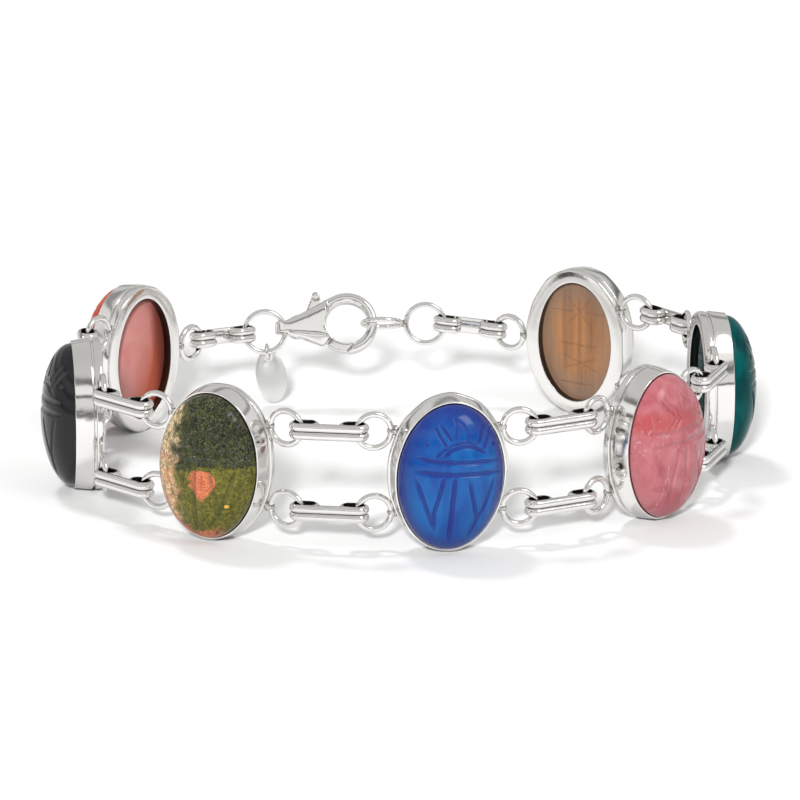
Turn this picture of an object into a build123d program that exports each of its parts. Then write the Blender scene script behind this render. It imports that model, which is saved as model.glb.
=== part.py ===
from build123d import *
from collections import namedtuple
from math import cos, degrees, radians, sin, sqrt
import os

# A closed bracelet of seven oval stones carved as scarabs. It stands on the lower edges of its settings.
# Millimetres, +Z up, -Y towards the front. Each rigid piece has a plane of its own: its x axis runs
# along the chain, its y axis points up and its z axis points out of the loop.

# Stones: oval cabochons with a flat back
stone_width = 10.0
stone_height = 14.0
girdle_height = 1.85
dome_height = 3.0
carving_width = 0.36
carving_depth = 0.22

# Settings: a back plate with an oval window, and a bezel that holds the stone
stone_clearance = 0.05
ledge_width = 0.87
ledge_thickness = 0.9
plate_thickness = 0.8
plate_overhang_side = 0.65
plate_overhang_end = 0.45
plate_rounding = 0.3
groove_width = 0.25
groove_wall = 0.22
bezel_depth = 2.8
bezel_lip = 0.2
bezel_foot = 0.42

# Round rings, each soldered to the side of a setting
ring_radius = 1.62
ring_wire = 0.58
ring_level = 0.3
pair_spacing = 7.9
pair_gap = 0.17
end_gap = 0.05
solder_wire = 0.7
solder_bite = 0.4

# Bar links: a strip with two half-round ridges, its ends rolled back into long loops
bar_length = 7.56
bar_height = 1.6
bar_thickness = 0.45
ridge_radius = 0.42
curl_radius = 0.6
curl_run = 0.8
curl_close = 140.0
bar_pivot_inset = 1.17

# Jump ring beside the clasp, and the oval tag that hangs on it by a small ring
jump_radius = 2.05
jump_wire = 0.54
jump_drop = 0.1
tag_width = 3.1
tag_height = 5.35
tag_thickness = 0.3
tag_hole_radius = 0.42
tag_rim = 0.4
tag_rise = 0.2
tag_gap = 0.05
tag_ring_radius = 0.7
tag_ring_wire = 0.3
tag_ring_shift = 0.2
tag_ring_turn = 15.0

# Catch: an upright ring and a lying loop, soldered to each other
catch_radius = 1.95
catch_wire = 0.53
catch_overlap = 0.06
catch_solder = 0.34

# Lobster clasp, drawn from the tip of its nose towards the claw
clasp_length = 10.4
clasp_thickness = 1.9
clasp_rounding = 0.4
claw_outer = 3.1
claw_band = 1.0
claw_gap = 0.2
nose_radius = 1.0
nose_height = 1.2
nose_wall = 0.37
nose_pivot_inset = 1.0
cone_from = 1.3
cone_from_y = -0.13
cone_from_height = 1.9
cone_from_thickness = 1.7
cone_from_corner = 0.6
cone_to = 5.35
cone_to_y = 0.25
cone_to_height = 4.7
cone_to_thickness = 2.9
cone_to_corner = 1.1
gate_from = 226.0
gate_slot_from = 221.0
gate_slot_to = 300.0
gate_reach = 4.2
gate_thickness = 1.4
gate_gap = 0.1
gate_inset = 0.12
gate_grip = 6.0
lever_thickness = 0.8
lever_gap = 0.1
lever_hub = 0.8
lever_pivot_x = 4.4
lever_pivot_y = 0.2
nub_x = 4.33
nub_y = 2.98
nub_radius = 0.42
nub_foot_left = 3.2
nub_foot_right = 4.85
nub_foot_y = 1.4
nub_pad_y = 2.75
slot_from = 2.4
slot_to = 5.05
slot_low = 5.9
pin_radius = 0.35
pin_length = 2.0
pin_gap = 0.05
pin_seat_gap = 0.02
pin_end_gap = 0.05

# The loop as headings in degrees, counter-clockwise seen from above. Rise is a share of the piece's
# own span, and roll leans its top outwards. Closing it takes a few rounds of small turns.
closing_rounds = 12
Piece = namedtuple("Piece", "name kind heading rise roll")
LOOP = [
    Piece("blue", "setting", 7.0, 0.0, 0.0),
    Piece("bar_blue_pink", "pair", 28.0, 0.0, 0.0),
    Piece("pink", "setting", 47.5, 0.0, 0.0),
    Piece("bar_pink_green", "pair", 71.0, 0.0, 0.0),
    Piece("green", "setting", 98.5, 0.0, 0.0),
    Piece("bar_green_tiger_eye", "pair", 127.0, 0.0, 0.0),
    Piece("tiger_eye", "last", 150.0, 0.0, 0.0),
    Piece("bar_tiger_eye_catch", "bar", 178.5, 0.12, 4.0),
    Piece("catch", "catch", 181.0, 0.02, 8.0),
    Piece("clasp", "clasp", 181.5, -0.05, 26.0),
    Piece("jump", "jump", 188.0, -0.12, 12.0),
    Piece("bar_jump_carnelian", "bar", 212.5, 0.04, 6.0),
    Piece("carnelian", "first", 232.0, 0.0, 0.0),
    Piece("bar_carnelian_onyx", "pair", 275.0, 0.0, 0.0),
    Piece("onyx", "setting", 276.0, 0.0, 0.0),
    Piece("bar_onyx_unakite", "pair", 314.0, 0.0, 0.0),
    Piece("unakite", "setting", 332.5, 0.0, 0.0),
    Piece("bar_unakite_blue", "pair", 351.0, 0.0, 0.0),
]

# Carved lines of the scarab, as shares of the stone's half width and half height
Stroke = namedtuple("Stroke", "x1 y1 x2 y2")
SCARAB = [
    Stroke(-0.72, 0.31, 0.78, 0.30),
    Stroke(-0.74, 0.14, 0.80, 0.14),
    Stroke(0.0, 0.14, 0.0, -0.80),
    Stroke(-0.70, 0.06, -0.33, -0.66),
    Stroke(-0.21, 0.06, -0.33, -0.66),
    Stroke(0.28, 0.07, 0.48, -0.50),
    Stroke(0.75, 0.06, 0.35, -0.75),
    Stroke(-0.41, 0.33, -0.08, 0.53),
    Stroke(-0.08, 0.53, 0.36, 0.54),
    Stroke(0.36, 0.54, 0.58, 0.42),
    Stroke(-0.41, 0.73, -0.20, 0.52),
    Stroke(-0.27, 0.80, -0.08, 0.61),
    Stroke(0.50, 0.78, 0.41, 0.58),
    Stroke(0.64, 0.70, 0.52, 0.50),
]

# Sizes that follow from the ones above
stone_a = stone_width / 2
stone_b = stone_height / 2
plate_a = stone_a + plate_overhang_side
plate_b = stone_b + plate_overhang_end
claw_x = clasp_length - claw_outer
claw_inner = claw_outer - claw_band
claw_pivot_x = claw_x + claw_inner - catch_wire / 2 - claw_gap
catch_centres = 2 * catch_radius + catch_wire - catch_overlap
clasp_span = claw_pivot_x - nose_pivot_inset
cone_small = (cone_from, cone_from_y, cone_from_height, cone_from_thickness, cone_from_corner)
cone_large = (cone_to, cone_to_y, cone_to_height, cone_to_thickness, cone_to_corner)


def plate_half_width(height):
    """Half width of the back plate at a height above its middle."""
    return plate_a * sqrt(1 - (height / plate_b) ** 2)


pair_ring_x = plate_half_width(pair_spacing / 2) + pair_gap + ring_wire / 2 + ring_radius
end_ring_x = plate_a + end_gap + ring_wire / 2 + ring_radius
pair_reach = pair_ring_x + ring_radius
end_reach = end_ring_x + ring_radius

SPANS = {
    "setting": 2 * pair_reach,
    "last": pair_reach + end_reach,
    "first": end_reach + pair_reach,
    "pair": bar_length - 2 * bar_pivot_inset,
    "bar": bar_length - 2 * bar_pivot_inset,
    "catch": catch_centres + 2 * catch_radius,
    "clasp": clasp_span,
    "jump": 2 * sqrt(jump_radius**2 - jump_drop**2),
}


def direction(heading, rise):
    """Unit vector of a piece from its heading and its rise over its span."""
    flat = sqrt(1 - rise**2)
    return Vector(flat * cos(radians(heading)), flat * sin(radians(heading)), rise)


def close_loop(pieces):
    """Turn every heading, and lift every loose piece, by the least that closes the loop."""
    spans = [SPANS[piece.kind] for piece in pieces]
    loose = [0 if piece.kind in ("setting", "pair", "first", "last") else 1 for piece in pieces]
    weight = sum(span**2 * free for span, free in zip(spans, loose))
    error = sum(piece.rise * span for piece, span in zip(pieces, spans))
    rises = [p.rise - error * s * free / weight for p, s, free in zip(pieces, spans, loose)]
    headings = [piece.heading for piece in pieces]
    for _ in range(closing_rounds):
        steps = [direction(h, r) * s for h, r, s in zip(headings, rises, spans)]
        gap_x = sum(step.X for step in steps)
        gap_y = sum(step.Y for step in steps)
        xx = sum(step.Y**2 for step in steps)
        yy = sum(step.X**2 for step in steps)
        xy = -sum(step.X * step.Y for step in steps)
        det = xx * yy - xy**2
        pull_x = (yy * gap_x - xy * gap_y) / det
        pull_y = (xx * gap_y - xy * gap_x) / det
        headings = [h + degrees(step.Y * pull_x - step.X * pull_y) for h, step in zip(headings, steps)]
    return [p._replace(heading=h, rise=r) for p, h, r in zip(pieces, headings, rises)]


def piece_plane(piece, origin, roll):
    """Plane of a piece: x along the chain, y up, z out of the loop."""
    along = direction(piece.heading, piece.rise)
    side = Vector(sin(radians(piece.heading)), -cos(radians(piece.heading)), 0)
    up = side.cross(along)
    out = side * cos(radians(roll)) - up * sin(radians(roll))
    return Plane(origin=origin, x_dir=along, z_dir=out)


def lay_out(pieces):
    """Start of each piece's span, one after the other along the chain."""
    starts = {}
    point = Vector(0, 0, plate_b)
    for piece in pieces:
        starts[piece.name] = point
        point = point + direction(piece.heading, piece.rise) * SPANS[piece.kind]
    return starts


pieces = close_loop(LOOP)
starts = lay_out(pieces)
by_name = {piece.name: piece for piece in pieces}


def place(name, distance=0.0, roll=None):
    """Plane of a named piece, at a distance from the start of its span."""
    piece = by_name[name]
    origin = starts[name] + direction(piece.heading, piece.rise) * distance
    return piece_plane(piece, origin, piece.roll if roll is None else roll)


def shifted(plane, x=0.0, y=0.0, z=0.0):
    """The same plane with its origin moved along its own axes."""
    return Plane(origin=plane.from_local_coords((x, y, z)), x_dir=plane.x_dir, z_dir=plane.z_dir)


def make_setting(back, ring_places):
    """Setting on the plane of its back face, with rings at (side, height) places."""
    with BuildPart() as setting:
        with BuildSketch(back):
            Ellipse(plate_a, plate_b)
        extrude(amount=plate_thickness)
        fillet(setting.edges().group_by(Axis(back.origin, back.z_dir))[0], plate_rounding)
        cup_a = stone_a + stone_clearance
        cup_b = stone_b + stone_clearance
        with BuildSketch(back.offset(plate_thickness)):
            Ellipse(cup_a + groove_wall, cup_b + groove_wall)
        extrude(amount=groove_width)
        with BuildSketch(back.offset(plate_thickness + groove_width)):
            Ellipse(cup_a + bezel_foot, cup_b + bezel_foot)
        with BuildSketch(back.offset(bezel_depth)):
            Ellipse(cup_a + bezel_lip, cup_b + bezel_lip)
        loft()
        with BuildSketch(back.offset(ledge_thickness)):
            Ellipse(cup_a, cup_b)
        extrude(amount=bezel_depth, mode=Mode.SUBTRACT)
        with BuildSketch(back):
            Ellipse(stone_a - ledge_width, stone_b - ledge_width)
        extrude(amount=bezel_depth, mode=Mode.SUBTRACT)
        for side, height in ring_places:
            ring_x = side * (pair_ring_x if height else end_ring_x)
            wall_x = side * (plate_half_width(height) - solder_bite)
            with Locations(shifted(back, ring_x, height, ring_level)):
                Torus(ring_radius, ring_wire / 2)
            neck = Plane(
                origin=back.from_local_coords((wall_x, height, ring_level)),
                x_dir=back.y_dir,
                z_dir=back.x_dir * side,
            )
            with BuildSketch(neck):
                Circle(solder_wire / 2)
            extrude(amount=abs(ring_x - wall_x) - ring_radius)
    return setting


def make_dome(inset):
    """Upper half of an ellipsoid, smaller by an inset all over."""
    with BuildPart() as dome:
        Sphere(1, arc_size1=0, arc_size2=90, align=(Align.CENTER, Align.CENTER, Align.MIN))
        scale(by=(stone_a - inset, stone_b - inset, dome_height - inset))
    return dome.part


outer_dome = make_dome(0)
inner_dome = make_dome(carving_depth)


def make_stone(back):
    """Carved cabochon on the plane of its flat back."""
    with BuildPart() as stone:
        girdle_top = back.offset(girdle_height)
        add(outer_dome.moved(girdle_top.location))
        with BuildSketch(girdle_top):
            for stroke in SCARAB:
                run_x = (stroke.x2 - stroke.x1) * stone_a
                run_y = (stroke.y2 - stroke.y1) * stone_b
                middle_x = (stroke.x2 + stroke.x1) / 2 * stone_a
                middle_y = (stroke.y2 + stroke.y1) / 2 * stone_b
                turn = Vector(1, 0, 0).get_signed_angle(Vector(run_x, run_y, 0))
                with Locations(Location((middle_x, middle_y), turn)):
                    Rectangle(sqrt(run_x**2 + run_y**2), carving_width)
        extrude(amount=dome_height, mode=Mode.SUBTRACT)
        add(inner_dome.moved(girdle_top.location))
        with BuildSketch(back):
            Ellipse(stone_a, stone_b)
        extrude(amount=girdle_height)
    return stone


def ridge_section(plane):
    """Section of a bar link: two half-round ridges on a flat, with z outwards as y here."""
    ridge_x = bar_height / 2 - ridge_radius
    ridge_y = bar_thickness - ridge_radius
    with BuildSketch(plane) as section:
        with Locations((-ridge_x, ridge_y), (ridge_x, ridge_y)):
            Circle(ridge_radius)
        with Locations((0, -bar_height / 2)):
            Rectangle(2 * bar_height, bar_height, mode=Mode.SUBTRACT)
    return section


def make_bar(middle):
    """Bar link on the plane of its middle, level with its two pivots."""
    curl_x = bar_length / 2 - bar_thickness - curl_radius
    roll_x = curl_x - curl_run
    end_x = roll_x - curl_radius * sin(radians(curl_close))
    end_z = -curl_radius * cos(radians(curl_close))
    from_above = Plane(origin=middle.origin, x_dir=middle.x_dir, z_dir=middle.y_dir * -1)
    foot = middle.from_local_coords((curl_x, 0, curl_radius))
    section = ridge_section(Plane(origin=foot, x_dir=middle.y_dir, z_dir=middle.x_dir))
    with BuildPart() as bar:
        with BuildLine(from_above) as curl:
            ThreePointArc((curl_x, curl_radius), (curl_x + curl_radius, 0), (curl_x, -curl_radius))
            Line((curl_x, -curl_radius), (roll_x, -curl_radius))
            ThreePointArc((roll_x, -curl_radius), (roll_x - curl_radius, 0), (end_x, end_z))
        sweep(section.sketch, path=curl.wire())
        mirror(about=Plane(origin=middle.origin, z_dir=middle.x_dir))
        extrude(section.sketch, amount=-2 * curl_x)
    return bar


def make_tag(bottom):
    """Oval tag behind the lowest point of the jump ring, on the jump ring's plane there."""
    tag_z = jump_wire / 2 + tag_gap + tag_thickness / 2
    with BuildPart() as tag:
        with BuildSketch(shifted(bottom, y=tag_rise, z=tag_z)):
            with Locations((0, -tag_height / 2)):
                Ellipse(tag_width / 2, tag_height / 2)
            with Locations((0, -tag_rim - tag_hole_radius)):
                Circle(tag_hole_radius, mode=Mode.SUBTRACT)
        extrude(amount=tag_thickness / 2, both=True)
    return tag


def make_tag_ring(bottom):
    """Small ring around the lowest point of the jump ring and through the tag's hole."""
    middle = shifted(bottom, z=tag_ring_shift)
    turn = radians(tag_ring_turn)
    across = middle.x_dir * cos(turn) + middle.z_dir * sin(turn)
    with BuildPart() as tag_ring:
        with Locations(Plane(origin=middle.origin, x_dir=middle.y_dir, z_dir=across)):
            Torus(tag_ring_radius, tag_ring_wire / 2)
    return tag_ring


def make_catch(upright, lying):
    """Upright ring and lying loop, with the planes that each of them lies in."""
    touch = upright.from_local_coords((catch_centres / 2, 0, 0))
    with BuildPart() as catch:
        with Locations(upright):
            Torus(catch_radius, catch_wire / 2)
        with Locations(lying):
            Torus(catch_radius, catch_wire / 2)
        with Locations(Location(touch)):
            Sphere(catch_solder)
    return catch


def sector(radius, start, stop):
    """Corner points of a wedge about the claw's centre, wide enough to cover a radius."""
    middle = (start + stop) / 2
    reach = 2 * radius / cos(radians((stop - start) / 4))
    turns = (start, middle, stop)
    return [(0, 0)] + [(reach * cos(radians(a)), reach * sin(radians(a))) for a in turns]


def gate_region(face, start, stop, inner, outer, reach):
    """Stretch of the claw's band between two angles, as far as the lever reaches."""
    with BuildSketch(face) as region:
        with Locations((claw_x, 0)):
            Circle(outer)
            Circle(inner, mode=Mode.SUBTRACT)
            Polygon(*sector(outer, start, stop), align=None, mode=Mode.INTERSECT)
        with Locations((lever_pivot_x, lever_pivot_y)):
            Circle(reach, mode=Mode.INTERSECT)
    return region


def clasp_section(face, x, y, height, thickness, corner):
    """Section of the clasp's body across its length."""
    plane = Plane(origin=face.from_local_coords((x, y, 0)), x_dir=face.y_dir, z_dir=face.x_dir)
    with BuildSketch(plane) as section:
        RectangleRounded(height, thickness, corner)
    return section


def make_clasp_body(face):
    """Body and claw of the clasp in one piece, on the plane of its middle."""
    nose = Plane(origin=face.from_local_coords((nose_radius, 0, 0)), x_dir=face.x_dir, z_dir=face.y_dir)
    gate = gate_region(face, gate_slot_from, gate_slot_to, claw_inner, 2 * claw_outer, gate_reach + gate_gap)
    with BuildPart() as body:
        with BuildSketch(face):
            with BuildLine():
                CenterArc((nose_radius, 0), nose_height / 2, 0, 360)
                CenterArc((claw_x, 0), claw_outer, 0, 360)
            make_hull()
            with Locations((claw_x, 0)):
                Circle(claw_inner, mode=Mode.SUBTRACT)
        extrude(amount=clasp_thickness / 2, both=True)
        fillet(body.faces().filter_by(face).edges(), clasp_rounding)
        loft([clasp_section(face, *cone_small).sketch, clasp_section(face, *cone_large).sketch])
        with BuildSketch(face):
            with Locations((claw_x, 0)):
                Circle(claw_inner)
        extrude(amount=cone_to_thickness, both=True, mode=Mode.SUBTRACT)
        with BuildSketch(nose.offset(-nose_height / 2)):
            Circle(nose_radius)
        extrude(amount=nose_height)
        with BuildSketch(nose):
            Circle(nose_radius - nose_wall)
        extrude(amount=claw_outer, both=True, mode=Mode.SUBTRACT)
        extrude(gate.sketch, amount=cone_to_thickness, both=True, mode=Mode.SUBTRACT)
        with BuildSketch(face):
            Polygon(
                (slot_from, -2 * claw_outer),
                (slot_low, -2 * claw_outer),
                (slot_low, 0),
                (slot_to, lever_pivot_y + lever_hub),
                (slot_to, 2 * claw_outer),
                (slot_from, 2 * claw_outer),
                align=None,
            )
        extrude(amount=lever_thickness / 2 + lever_gap, both=True, mode=Mode.SUBTRACT)
        with BuildSketch(face):
            with Locations((lever_pivot_x, lever_pivot_y)):
                Circle(pin_radius + pin_seat_gap)
        extrude(amount=pin_length / 2 + pin_end_gap, both=True, mode=Mode.SUBTRACT)
    return body


def thumb_outline(face, low):
    """Outline of the lever's thumb piece from a height up to its round top."""
    share = (low - nub_foot_y) / (nub_y - nub_foot_y)
    left = nub_foot_left + share * (nub_x - nub_radius - nub_foot_left)
    right = nub_foot_right + share * (nub_x + nub_radius - nub_foot_right)
    with BuildSketch(face) as outline:
        top = [(nub_x + nub_radius, nub_y), (nub_x - nub_radius, nub_y)]
        Polygon((left, low), (right, low), *top, align=None)
        with Locations((nub_x, nub_y)):
            Circle(nub_radius)
    return outline


def make_lever(face):
    """Lever of the clasp: thumb nub, hub on the pin, and the gate that closes the claw."""
    grip = radians(gate_from + gate_grip)
    grip_inner = (claw_x + claw_inner * cos(grip), claw_inner * sin(grip))
    grip_outer = (claw_x + (claw_outer - gate_inset) * cos(grip), (claw_outer - gate_inset) * sin(grip))
    gate = gate_region(face, gate_from, gate_slot_to, claw_inner, claw_outer - gate_inset, gate_reach)
    with BuildPart() as lever:
        extrude(gate.sketch, amount=gate_thickness / 2, both=True)
        with BuildSketch(face):
            with Locations((lever_pivot_x, lever_pivot_y)):
                Circle(lever_hub)
            Polygon(
                (nub_foot_left, nub_foot_y),
                (lever_pivot_x - lever_hub, lever_pivot_y),
                (lever_pivot_x + lever_hub, lever_pivot_y),
                (nub_foot_right, nub_foot_y),
                align=None,
            )
            Polygon(
                (lever_pivot_x, lever_pivot_y + lever_hub),
                (lever_pivot_x, lever_pivot_y - lever_hub),
                grip_outer,
                grip_inner,
                align=None,
            )
        extrude(amount=lever_thickness / 2, both=True)
        extrude(thumb_outline(face, nub_foot_y).sketch, amount=lever_thickness / 2, both=True)
        extrude(thumb_outline(face, nub_pad_y).sketch, amount=gate_thickness / 2, both=True)
        with BuildSketch(face):
            with Locations((lever_pivot_x, lever_pivot_y)):
                Circle(pin_radius + pin_gap)
        extrude(amount=clasp_thickness, both=True, mode=Mode.SUBTRACT)
    return lever


def make_pin(face):
    """Plain pin across the lever, with its ends inside the body."""
    with BuildPart() as pin:
        with BuildSketch(face):
            with Locations((lever_pivot_x, lever_pivot_y)):
                Circle(pin_radius)
        extrude(amount=pin_length / 2, both=True)
    return pin


def make_jump_ring(ring):
    """Plain round ring in its plane."""
    with BuildPart() as jump:
        with Locations(ring):
            Torus(jump_radius, jump_wire / 2)
    return jump


finished = {}
pair_heights = (pair_spacing / 2, -pair_spacing / 2)
for piece in pieces:
    if piece.kind in ("setting", "first", "last"):
        left_reach = end_reach if piece.kind == "first" else pair_reach
        back = place(piece.name, left_reach).offset(-ring_level)
        left = [(-1, 0)] if piece.kind == "first" else [(-1, height) for height in pair_heights]
        right = [(1, 0)] if piece.kind == "last" else [(1, height) for height in pair_heights]
        finished[f"setting_{piece.name}"] = make_setting(back, left + right)
        finished[f"stone_{piece.name}"] = make_stone(back.offset(ledge_thickness + stone_clearance))
    if piece.kind == "pair":
        for level, height in zip(("upper", "lower"), pair_heights):
            middle = place(piece.name, SPANS["pair"] / 2)
            finished[f"{piece.name}_{level}"] = make_bar(shifted(middle, y=height))
    if piece.kind == "bar":
        finished[piece.name] = make_bar(place(piece.name, SPANS["bar"] / 2))

upright = place("catch", catch_radius)
lying_roll = place("catch", catch_radius + catch_centres, by_name["clasp"].roll)
lying = Plane(origin=lying_roll.origin, x_dir=lying_roll.x_dir, z_dir=lying_roll.y_dir)
finished["catch_ring"] = make_catch(upright, lying)
nose_tip = place("clasp", clasp_span + nose_pivot_inset)
face = Plane(origin=nose_tip.origin, x_dir=nose_tip.x_dir * -1, z_dir=nose_tip.z_dir * -1)
finished["clasp_body"] = make_clasp_body(face)
finished["clasp_lever"] = make_lever(face)
finished["clasp_pin"] = make_pin(face)
jump_plane = shifted(place("jump", SPANS["jump"] / 2), y=-jump_drop)
jump_bottom = shifted(jump_plane, y=-jump_radius)
finished["jump_ring"] = make_jump_ring(jump_plane)
finished["tag"] = make_tag(jump_bottom)
finished["tag_ring"] = make_tag_ring(jump_bottom)

# The origin is the middle of the bracelet's box, on the surface that it stands on
boxes = [item.part.bounding_box() for item in finished.values()]
low = [min(getattr(box.min, axis) for box in boxes) for axis in "XYZ"]
high = [max(getattr(box.max, axis) for box in boxes) for axis in "XYZ"]
to_origin = Location((-(low[0] + high[0]) / 2, -(low[1] + high[1]) / 2, -low[2]))
pivot = face.from_local_coords((lever_pivot_x, lever_pivot_y, 0)) + to_origin.position
os.makedirs("parts", exist_ok=True)
for name, item in finished.items():
    item.part.label = name
    item.part.locate(to_origin)
    export_step(item.part, f"parts/{name}.step")
print("lever pivot", [round(value, 4) for value in pivot], "axis", [round(value, 5) for value in face.z_dir])
print("size", [round(b - a, 3) for a, b in zip(low, high)])
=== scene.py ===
"""Looks of a closed bracelet of seven carved scarab stones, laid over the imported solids.

Sizes in the classes are millimetres in a piece's own frame: x along the chain, y up and z out of the
loop. Finished meshes are in metres in the frame of the model.
"""

import logging
from dataclasses import dataclass
from enum import Enum
from math import cos, pi, radians, sin, sqrt
from typing import Callable, Iterable, Sequence, Union

import bmesh
import bpy
import numpy as np
from bpy.types import Material, Mesh, Node, NodeSocket, NodeTree, Object
from mathutils import Matrix, Vector


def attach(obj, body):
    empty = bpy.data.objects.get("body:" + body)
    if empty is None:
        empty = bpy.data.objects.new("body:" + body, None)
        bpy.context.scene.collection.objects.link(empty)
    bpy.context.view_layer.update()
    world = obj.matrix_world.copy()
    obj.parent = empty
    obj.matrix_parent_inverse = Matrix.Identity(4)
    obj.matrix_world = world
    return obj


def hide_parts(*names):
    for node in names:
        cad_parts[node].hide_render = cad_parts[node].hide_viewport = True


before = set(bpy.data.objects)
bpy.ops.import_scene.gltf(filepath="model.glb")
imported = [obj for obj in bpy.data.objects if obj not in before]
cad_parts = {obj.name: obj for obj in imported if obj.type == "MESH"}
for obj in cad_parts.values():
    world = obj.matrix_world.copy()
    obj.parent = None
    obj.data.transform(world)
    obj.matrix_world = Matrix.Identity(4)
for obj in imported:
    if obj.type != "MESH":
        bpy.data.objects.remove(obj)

MM = 0.001
MIDDLE = 7.47
HALF_WIDTH = 5.0
HALF_HEIGHT = 7.0
LOG = logging.getLogger("bracelet")
Value = Union[float, tuple, "Sock"]
Point = tuple[float, float]
Triple = tuple[float, float, float]
Shell = tuple[np.ndarray, Sequence]


# Places of the pieces


@dataclass(frozen=True)
class Lie:
    """Where a piece lies in the model, how its x axis heads and rises, and how far it is rolled."""

    x: float
    y: float
    heading: float
    z: float = MIDDLE
    rise: float = 0.0
    roll: float = 0.0

    def origin(self) -> np.ndarray:
        """The piece's origin in millimetres."""
        return np.array([self.x, self.y, self.z])

    def axes(self) -> np.ndarray:
        """The piece's x, y and z axes in the model's frame, as the columns of an array."""
        turn, lean = radians(self.heading), radians(self.roll)
        flat = sqrt(1 - self.rise**2)
        along = np.array([flat * cos(turn), flat * sin(turn), self.rise])
        side = np.array([sin(turn), -cos(turn), 0.0])
        out = side * cos(lean) - np.cross(side, along) * sin(lean)
        return np.stack([along, np.cross(out, along), out], axis=1)

    def to_model(self, points: np.ndarray) -> np.ndarray:
        """The piece's points, in millimetres, as metres in the model's frame."""
        return (points @ self.axes().T + self.origin()) * MM


class Stone(Enum):
    """The seven stones, in their order along the chain."""

    BLUE = "blue"
    PINK = "pink"
    GREEN = "green"
    TIGER_EYE = "tiger_eye"
    CARNELIAN = "carnelian"
    ONYX = "onyx"
    UNAKITE = "unakite"


LEANS = {Stone.BLUE: -4.2, Stone.UNAKITE: -3.3, Stone.PINK: 1.8}
FINENESS = {Stone.BLUE: 230, Stone.TIGER_EYE: 140}
SETTINGS = {
    Stone.BLUE: Lie(4.0459, -23.4114, 7.093),
    Stone.PINK: Lie(22.6894, -13.7996, 47.018),
    Stone.GREEN: Lie(28.989, 5.5112, 97.647),
    Stone.TIGER_EYE: Lie(17.5727, 22.2135, 149.388),
    Stone.CARNELIAN: Lie(-25.3825, 16.1011, 232.56),
    Stone.ONYX: Lie(-28.9933, -4.05, 276.849),
    Stone.UNAKITE: Lie(-16.9327, -19.8356, 333.059),
}
PAIRS = {
    "bar_blue_pink": Lie(14.8144, -21.4381, 27.933),
    "bar_pink_green": Lie(29.5568, -5.3284, 70.777),
    "bar_green_tiger_eye": Lie(26.5946, 16.0571, 126.759),
    "bar_carnelian_onyx": Lie(-30.543, 6.9431, 275.261),
    "bar_onyx_unakite": Lie(-26.4581, -14.3859, 314.226),
    "bar_unakite_blue": Lie(-6.9211, -24.3537, 351.1),
}
SINGLES = {
    "bar_tiger_eye_catch": Lie(7.1907, 27.2426, 178.434, 7.7756, 0.1171, 4.0),
    "bar_jump_carnelian": Lie(-17.8118, 25.0167, 212.587, 7.3732, 0.0371, 6.0),
}
CATCH_UPRIGHT = Lie(2.6501, 27.2825, 180.912, 8.1113, 0.0154, 8.0)
CATCH_LYING = Lie(-1.7188, 27.2129, 180.912, 8.1787, 0.0154, -64.0)
JUMP = Lie(-13.587, 26.6846, 187.981, 7.4296, -0.1223, 12.0)
JUMP_BOTTOM = Lie(-13.285, 26.2966, 187.981, 5.4394, -0.1223, 12.0)


def leaned(points: np.ndarray, stone: Stone) -> np.ndarray:
    """Points of a stone or its band, turned about the middle as that stone leans."""
    turn = radians(LEANS.get(stone, 0.0))
    return points @ np.array([[cos(turn), sin(turn), 0.0], [-sin(turn), cos(turn), 0.0], [0.0, 0.0, 1.0]])


# Node trees, for shaders and for geometry


class Tree:
    """A node tree that is filled by calls."""

    def __init__(self, tree: NodeTree) -> None:
        """Keeps the tree and empties it."""
        self.tree = tree
        tree.nodes.clear()

    def node(self, kind: str, values: dict | None = None, **settings: object) -> Node:
        """Adds a node.

        Args:
            kind: The node's type name.
            values: Values or links by the name or the number of an input.
            **settings: Properties of the node, set before its inputs.

        Returns:
            The node.
        """
        made = self.tree.nodes.new(kind)
        for key, value in settings.items():
            setattr(made, key, value)
        for key, value in (values or {}).items():
            self.feed(made.inputs[key], value)
        return made

    def feed(self, socket: NodeSocket, value: object) -> None:
        """Links a socket to another or to a node's first output, or sets its value."""
        if isinstance(value, Node):
            value = value.outputs[0]
        value = getattr(value, "socket", value)
        if isinstance(value, NodeSocket):
            self.tree.links.new(value, socket)
        else:
            socket.default_value = value

    def sock(self, node: Node, output: Union[int, str] = 0) -> "Sock":
        """One output of a node, ready for sums."""
        return Sock(self, node.outputs[output])


def math(operation: str, swapped: bool = False) -> Callable:
    """A method that adds a Math node on its socket and another value, or the other way round."""

    def method(self: "Sock", other: Value) -> "Sock":
        """Adds the node."""
        values = {0: other, 1: self} if swapped else {0: self, 1: other}
        return self.tree.sock(self.tree.node("ShaderNodeMath", values, operation=operation))

    return method


class Sock:
    """A socket that takes part in sums on single values."""

    def __init__(self, tree: Tree, socket: NodeSocket) -> None:
        """Keeps the socket and the tree that it is in."""
        self.tree, self.socket = tree, socket

    __add__ = math("ADD")
    __sub__ = math("SUBTRACT")
    __rsub__ = math("SUBTRACT", True)
    __mul__ = math("MULTIPLY")
    __truediv__ = math("DIVIDE")
    power = math("POWER")
    larger = math("MAXIMUM")

    def step(self, low: float, high: float) -> "Sock":
        """Smooth step from 0 at the first value to 1 at the second, which may be the lower one."""
        ends = {"From Min": min(low, high), "From Max": max(low, high)}
        made = self.tree.node("ShaderNodeMapRange", {"Value": self} | ends, interpolation_type="SMOOTHSTEP")
        result = self.tree.sock(made)
        return 1.0 - result if low > high else result


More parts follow.
